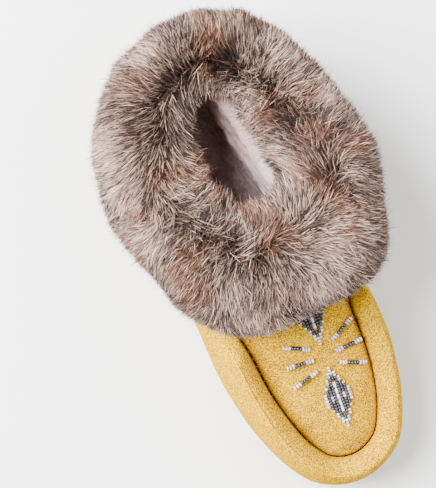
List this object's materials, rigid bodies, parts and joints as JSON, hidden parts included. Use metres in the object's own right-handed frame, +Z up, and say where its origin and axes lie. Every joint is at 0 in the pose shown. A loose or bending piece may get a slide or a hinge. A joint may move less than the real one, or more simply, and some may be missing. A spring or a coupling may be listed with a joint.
{
  "type": "moccasin slipper",
  "caption": "Golden suede moccasin slipper with a rolled rim, a beaded plug and a thick fur collar, standing on its soft sole.",
  "frame": {"origin": "on the floor, on the shoe's centre line, under the middle of the foot's length, on the flat of the sole's forefoot", "axes": "+Z up from the floor, toe towards -Y, heel towards +Y, +X to the viewer's right when looking at the toe along +Y"},
  "size_m": [0.1394, 0.2664, 0.1178],
  "materials": {
    "suede": "golden tan suede, short velvety nap",
    "sole_suede": "the same suede, rubbed and slightly darker",
    "pile": "off-white curly pile",
    "fur": "long grey-brown fur with pale tips and rust patches",
    "beads": "glossy seed beads, pearl white and dark grey"
  },
  "bodies": {
    "root": {"outsole": "sole_suede", "insole": "pile", "upper": "suede", "plug": "suede", "quarter_band": "suede", "fur_collar": "fur", "bead_diamond_front": "beads", "bead_diamond_back": "beads", "bead_ray_left_1": "beads", "bead_ray_left_2": "beads", "bead_ray_left_3": "beads", "bead_ray_right_1": "beads", "bead_ray_right_2": "beads", "bead_ray_right_3": "beads"}
  },
  "joints": []
}
